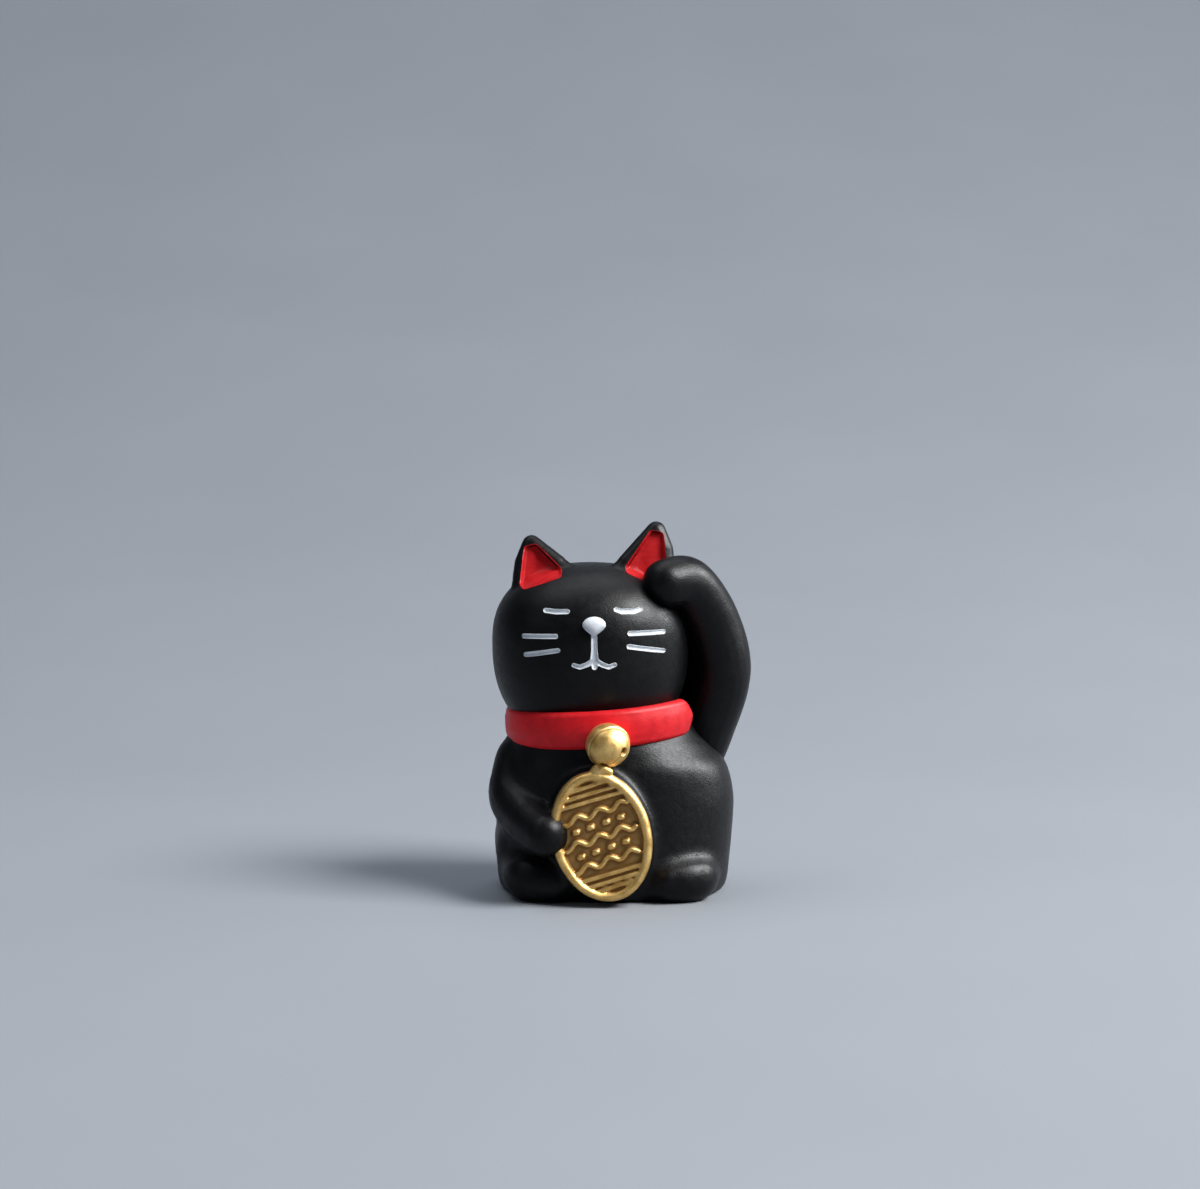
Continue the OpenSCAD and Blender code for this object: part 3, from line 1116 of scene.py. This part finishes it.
@dataclass
class Collar:
    """The red band round the neck, which ends to each side of the raised arm, in millimetres."""

    palette: Palette
    radius: float = 11.0
    half: float = 2.1
    root: float = 8.8
    tilt: float = -4.0
    centre: tuple[float, float, float] = (-1.1, 0, 19.5)
    first: float = -20.0  # the end in front of the raised arm, in degrees from +X
    last: float = -318.0  # the end behind it

    steps: int = 220  # sections along the band
    taper: float = 9.0  # degrees over which each end thins
    end_height: float = 0.3  # share of its height that the band keeps at its ends

    def profile(self) -> list[tuple[float, float]]:
        """The band's section, with full round edges and a low crown.

        Returns:
            Rows of radius and height, in millimetres.
        """
        edge, tuck, bevel, crown = 0.75, 0.2, 0.35, 0.1
        corner = self.radius - tuck - edge

        def rounded(level: float, start: float) -> list[tuple[float, float]]:
            """A quarter round, from its starting angle up."""
            angles = [start + k * math.pi / 16 for k in range(9)]
            return [(corner + edge * math.cos(a), level + edge * math.sin(a)) for a in angles]

        return [
            (self.root, -self.half + bevel),
            *rounded(-self.half + edge, -math.pi / 2),
            *((self.radius - crown * abs(h), h * self.half * 0.9) for h in (-0.5, 0.0, 0.5)),
            *rounded(self.half - edge, 0),
            (self.root, self.half - bevel),
        ]

    def build(self) -> bpy.types.Object:
        """Returns the collar."""
        bm = bmesh.new()
        verts = [bm.verts.new(mm(r, 0, h)) for r, h in self.profile()]
        edges = [bm.edges.new(pair) for pair in zip(verts, verts[1:] + verts[:1])]
        start = math.radians(self.first)
        bmesh.ops.rotate(bm, verts=verts, matrix=Matrix.Rotation(start, 3, "Z"))
        sweep = math.radians(self.last - self.first)
        bmesh.ops.spin(bm, geom=verts + edges, axis=(0, 0, 1), angle=sweep, steps=self.steps)
        bmesh.ops.holes_fill(bm, edges=[e for e in bm.edges if e.is_boundary], sides=0)
        taper = math.radians(self.taper)
        for vert in bm.verts:
            past = (start - math.atan2(vert.co.y, vert.co.x)) % TURN
            left = max(-sweep - past, 0)
            if past > 0.975 * TURN:  # rounding has put the first end a whole turn on
                past = 0
            near = min(past, left, taper) / taper
            full = math.sqrt(1 - (1 - near) ** 2)
            vert.co.z *= self.end_height + (1 - self.end_height) * full
        bmesh.ops.recalc_face_normals(bm, faces=bm.faces[:])
        place = Matrix.Translation(mm(*self.centre)) @ Matrix.Rotation(math.radians(self.tilt), 4, "Y")
        bmesh.ops.transform(bm, matrix=place, verts=bm.verts[:])
        return finished(bm, "collar", self.palette.collar_red)


def ridge(value: float, middle: float, width: float) -> float:
    """1 on a soft line at the middle value, and 0 away from it."""
    return math.exp(-(((value - middle) / width) ** 2))


@dataclass
class Bell:
    """The gilded bell: a ball with a seam round it and a slit between two eyes, in millimetres."""

    palette: Palette
    centre: tuple[float, float, float] = (-0.4, -11.6, 18.0)
    radius: float = 2.45
    facing: Vector = Vector((0.38, -0.86, -0.34))  # the pole that the seam runs around
    eyes: tuple[Vector, Vector] = (Vector((0.74, -0.64, -0.2)), Vector((-0.2, -0.5, -0.84)))
    seam_rise: float = 0.03  # heights and depths are shares of the radius
    gutter_depth: float = 0.012
    eye_depth: float = 0.16
    slit_depth: float = 0.035

    def build(self) -> bpy.types.Object:
        """Returns the bell."""
        bm = bmesh.new()
        bmesh.ops.create_icosphere(bm, subdivisions=7, radius=1)
        axis = self.facing.normalized()
        eyes = [way.normalized() for way in self.eyes]
        between = (eyes[0] + eyes[1]).normalized()
        along = eyes[0].cross(eyes[1]).normalized()
        layer = bm.verts.layers.float.new("hollow")
        for vert in bm.verts:
            way = vert.co.normalized()
            high = way.dot(axis)
            seam = ridge(high, 0.12, 0.045)
            gutter = ridge(high, 0.22, 0.05)
            eye = max(smooth_step((way.dot(e) - 0.978) / 0.012) for e in eyes)
            slit = ridge(way.dot(along), 0, 0.035) * smooth_step((way.dot(between) - 0.72) / 0.05)
            reach = 1 + self.seam_rise * seam - self.gutter_depth * gutter
            reach -= self.eye_depth * eye + self.slit_depth * slit
            # painted shade: the eyes and slit, openings on a real bell, and the gutter by the seam are
            # stored as hollows that the gold paint browns
            vert[layer] = min(0.55 * gutter + eye + 0.55 * slit, 1)
            vert.co = mm(*self.centre) + way * reach * self.radius * MM
        return finished(bm, "bell", self.palette.gold)


@dataclass
class Coin:
    """The oval coin: a raised rim, ribs at both ends, and waves and beads between, in millimetres."""

    palette: Palette
    centre: tuple[float, float, float] = (-1.1, -13.1, 7.95)
    wide: float = 11.0
    high: float = 14.7
    lean: float = -14.0
    thick: float = 1.3
    field_drop: float = 0.6
    crests: float = 2.5  # how closely the waves follow one another
    relief: float = 0.13  # how far the middle of a raised stroke stands above the field
    voxel: float = 0.1 * MM

    def place(self) -> Matrix:
        """The coin's own frame, with X across, Y up its long side and +Z out of its face."""
        upright = Matrix.Rotation(math.radians(90), 4, "X")
        leaning = Matrix.Rotation(math.radians(self.lean), 4, "Y")
        return Matrix.Translation(mm(*self.centre)) @ leaning @ upright

    def slab(self, grow: float, low: float, high: float) -> Lump:
        """An oval slab.

        Args:
            grow: How much wider than the coin it is, all round.
            low: The level of its back in the coin's frame.
            high: The level of its face.

        Returns:
            The slab, in the coin's frame.
        """
        lump = Lump.drum(96)
        for vert in lump.bm.verts:
            vert.co = mm(
                vert.co.x * (self.wide / 2 + grow),
                vert.co.y * (self.high / 2 + grow),
                low + vert.co.z * (high - low),
            )
        return lump

    def bed(self) -> Lump:
        """The black bed behind the coin, which belongs to the torso."""
        return self.slab(0.05, -4, -self.thick + 0.1).moved(self.place())

    def raised(self, points: Sequence[tuple[float, float]], radius: float = 0.27) -> Lump:
        """A raised stroke on the field, through points given as x and y."""
        level = self.relief - self.field_drop
        return Lump.limb([(x, y, level, radius) for x, y in points], 0.12, 2)

    def bead(self, x: float, y: float) -> Lump:
        """A raised bead on the field, a little higher at one end."""
        half, rise, radius = 0.15, 0.02, 0.36
        level = self.relief - self.field_drop
        return Lump.limb([(x - half, y, level, radius), (x + half, y, level + rise, radius)], 0.1, 2)

    def reach(self, y: float, side_room: float, end_room: float) -> float:
        """How far the field runs to each side at some height, less some room to the coin's edge."""
        along = y / (self.high / 2 - end_room)
        return (self.wide / 2 - side_room) * math.sqrt(1 - along**2)

    def wave(self, y: float, shift: float) -> Lump:
        """A raised wavy line across the field.

        Args:
            y: The height of its middle.
            shift: How far on its crests are, in radians.

        Returns:
            The line.
        """
        slope, swing, steps = 0.1, 0.34, 24
        reach = self.reach(y, 1.5, 1)
        spots = [-reach + 2 * reach * k / steps for k in range(steps + 1)]
        points = [(x, y + slope * x + swing * math.sin(x * self.crests + shift)) for x in spots]
        return self.raised(points, 0.3)

    def rim(self) -> Lump:
        """The raised rim."""
        inset, level, radius, steps = 0.55, -0.5, 0.52, 72
        wide, high = self.wide / 2 - inset, self.high / 2 - inset
        turns = [TURN * k / steps for k in range(steps + 1)]
        points = [(wide * math.cos(a), high * math.sin(a), level, radius) for a in turns]
        return Lump.limb(points, 0.12, 2)

    def ribs(self) -> list[Lump]:
        """Slanting bars across both ends of the field."""
        lumps = []
        fall, rise = 0.1, 0.25
        for y in (5.7, 4.9, 4.1, -4.3, -5.1, -5.8):
            reach = self.reach(y, 0.8, 0.8)
            lumps.append(self.raised([(-reach, y - fall), (reach, y + rise)]))
        return lumps

    def ornament(self) -> list[Lump]:
        """Rows of waves and beads, which stand for no writing."""
        lumps = [self.wave(2.75, 0.4), self.wave(0, 2.2), self.wave(-2.75, 0.9)]
        for y, spots in ((1.4, (-2.6, -0.9, 0.9, 2.6)), (-1.4, (-2.7, -1, 0.8, 2.5))):
            lumps += [self.bead(x, y + 0.1 * x) for x in spots]
        return lumps

    def lug(self) -> Lump:
        """The lug at the top, where the coin hangs from the bell."""
        joints = [(0.8, 7.0, -0.75, 0.55), (1.75, 7.35, -0.7, 0.75), (2.5, 6.75, -0.7, 0.55)]
        return Lump.limb(joints, 0.15, 2)

    def store_field(self, bm: BMesh) -> None:
        """Adds the antique brown that has pooled over the whole field to the stored hollows."""
        layer = bm.verts.layers.float["hollow"]
        starts, deepens, share_of_oval, strength = 0.22, self.field_drop - 0.25, 0.47, 0.6
        for vert in bm.verts:
            across, upward = vert.co.x / self.wide, vert.co.y / self.high
            if across**2 + upward**2 < (share_of_oval * MM) ** 2:
                sunk = smooth_step((-vert.co.z / MM - starts) / deepens)
                vert[layer] = min(strength * sunk + vert[layer], 1)

    def build(self) -> bpy.types.Object:
        """Returns the coin."""
        slab = self.slab(0, -self.thick, -self.field_drop)
        lumps = [slab, self.rim(), self.lug(), *self.ribs(), *self.ornament()]
        bm = Casting(lumps).cast(self.voxel, reach=0, rounds=0)
        store_hollows(bm, 14, 0.12 * MM)
        self.store_field(bm)
        bmesh.ops.transform(bm, matrix=self.place(), verts=bm.verts[:])
        return finished(bm, "coin", self.palette.gold)


# ---------------------------------------------------------------- stage


@dataclass(frozen=True)
class Lamp:
    """A soft rectangular light that faces the figurine, with its power in watts."""

    name: str
    place: Vector
    size: tuple[float, float]
    power: float
    tint: Tint
    sheen_only: bool = False

    def build(self) -> None:
        """Adds the light to the scene."""
        data = bpy.data.lights.new(self.name, "AREA")
        data.shape = "RECTANGLE"
        data.size, data.size_y = self.size
        data.energy = self.power
        data.color = self.tint
        lamp = bpy.data.objects.new(self.name, data)
        lamp.location = self.place
        lamp.rotation_euler = (mm(0, 0, 20) - self.place).to_track_quat("-Z", "Y").to_euler()
        lamp.visible_diffuse = not self.sheen_only
        bpy.context.scene.collection.objects.link(lamp)


@dataclass
class Stage:
    """A plain grey sweep, soft light from the upper right and the camera."""

    aim: Vector = mm(-1.25, 0, 33.5)
    reach: float = 321.6 * MM
    pitch: float = 5.7
    lens: float = 85.0

    def floor(self) -> None:
        """The sweep: a floor that curves up into the backdrop."""
        bm = bmesh.new()
        half, front, back, rise, bend = 1.6, -1.2, 1.0, 1.6, 0.92
        rows = [(front, 0.0), (back - bend, 0.0)]
        steps = 48
        for k in range(1, steps + 1):
            angle = math.pi / 2 * k / steps
            rows.append((back - bend + bend * math.sin(angle), bend - bend * math.cos(angle)))
        rows.append((back, rise))
        verts = [bm.verts.new((-half, y, z)) for y, z in rows]
        edges = [bm.edges.new(pair) for pair in zip(verts, verts[1:])]
        made = bmesh.ops.extrude_edge_only(bm, edges=edges)
        moved = [g for g in made["geom"] if isinstance(g, BMVert)]
        bmesh.ops.translate(bm, vec=(2 * half, 0, 0), verts=moved)
        bmesh.ops.recalc_face_normals(bm, faces=bm.faces[:])
        mesh = bpy.data.meshes.new("sweep")
        bm.to_mesh(mesh)
        bm.free()
        mesh.shade_smooth()
        recipe = Recipe("sweep_paper")
        tone = recipe.span(recipe.noise(60 * MM, 2), (0.3, 0.7), (0, 1))
        recipe.feed("Base Color", recipe.blend(tone, (0.278, 0.302, 0.343), (0.289, 0.314, 0.356)))
        recipe.feed("Roughness", 0.9)
        recipe.feed("Specular IOR Level", 0.15)
        mesh.materials.append(recipe.material)
        sweep = bpy.data.objects.new("sweep", mesh)
        bpy.context.scene.collection.objects.link(sweep)

    def lights(self) -> None:
        """The key from the upper right, a low fill, two cards that only give sheen, and the room."""
        cool = (0.95, 0.975, 1.0)
        lamps = [
            Lamp("key", Vector((0.45, -0.19, 0.55)), (0.36, 0.36), 8.0, (1.0, 0.985, 0.96)),
            Lamp("fill", Vector((-0.9, -0.5, 0.5)), (0.5, 0.5), 0.5, (0.9, 0.95, 1.0)),
            Lamp("overhead", Vector((-0.2, 0.25, 1.15)), (1.4, 0.6), 7.0, (0.92, 0.96, 1.0)),
            Lamp("card", Vector((0.48, -0.20, 0.46)), (0.22, 0.22), 6.8, cool, sheen_only=True),
            Lamp("edge_card", Vector((0.45, 0.09, 0.26)), (0.14, 0.26), 4.2, cool, sheen_only=True),
        ]
        for lamp in lamps:
            lamp.build()
        world = bpy.data.worlds.new("room")
        world.use_nodes = True
        glow = world.node_tree.nodes["Background"].inputs
        glow["Color"].default_value = (0.50, 0.56, 0.65, 1)
        glow["Strength"].default_value = 0.12
        bpy.context.scene.world = world

    def camera(self) -> None:
        """The camera, level with the figurine's face and looking a little down."""
        data = bpy.data.cameras.new("camera")
        data.lens = self.lens
        data.sensor_width = 36
        data.clip_start = 0.01
        camera = bpy.data.objects.new("camera", data)
        pitch = math.radians(self.pitch)
        camera.location = self.aim + Vector((0, -math.cos(pitch), math.sin(pitch))) * self.reach
        camera.rotation_euler = (math.pi / 2 - pitch, 0, 0)
        bpy.context.scene.collection.objects.link(camera)
        bpy.context.scene.camera = camera

    def build(self) -> None:
        """Sets up everything around the figurine."""
        self.floor()
        self.lights()
        self.camera()
        bpy.context.scene.view_settings.view_transform = "Standard"


def main() -> None:
    """Builds the figurine, piece by piece, and its stage."""
    logging.basicConfig(level=logging.INFO, format="%(name)s: %(message)s")
    palette = Palette.mixed()
    coin = Coin(palette)
    Stage().build()
    Torso(palette, coin).build()
    RaisedArm(palette).build()
    Head(palette).build()
    Collar(palette).build()
    Bell(palette).build()
    coin.build()


if __name__ == "__main__":
    main()
